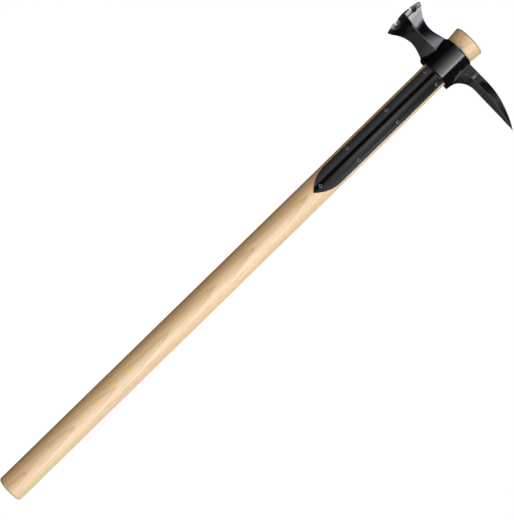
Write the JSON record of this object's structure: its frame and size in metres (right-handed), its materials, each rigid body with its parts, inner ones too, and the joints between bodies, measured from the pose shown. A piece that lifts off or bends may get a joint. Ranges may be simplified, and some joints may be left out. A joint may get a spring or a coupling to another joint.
{
  "type": "war hammer",
  "caption": "Two-handed war hammer with a forged head, pronged poll and curved back spike, on an oval wooden haft with screwed steel langets.",
  "frame": {"origin": "centre of the butt face, on the haft's axis", "axes": "+X along the haft from the butt to the crown, +Y towards the poll, -Y towards the spike, +Z out of the front langet; the hammer lies on its side"},
  "size_m": [0.82, 0.2056, 0.048],
  "materials": {
    "head_steel": "semi-gloss black baked finish on forged steel",
    "haft_wood": "pale hickory under a thin clear lacquer",
    "langet_steel": "semi-gloss black finish on sheet steel",
    "screw_steel": "blackened steel, worn bright at the rim"
  },
  "bodies": {
    "root": {"hammer_head": "head_steel", "haft": "haft_wood", "langet_front": "langet_steel", "langet_back": "langet_steel", "screw_front_1": "screw_steel", "screw_front_2": "screw_steel", "screw_front_3": "screw_steel", "screw_front_4": "screw_steel", "screw_front_5": "screw_steel", "screw_front_6": "screw_steel", "screw_front_7": "screw_steel", "screw_back_1": "screw_steel", "screw_back_2": "screw_steel", "screw_back_3": "screw_steel", "screw_back_4": "screw_steel", "screw_back_5": "screw_steel", "screw_back_6": "screw_steel", "screw_back_7": "screw_steel"}
  },
  "joints": []
}
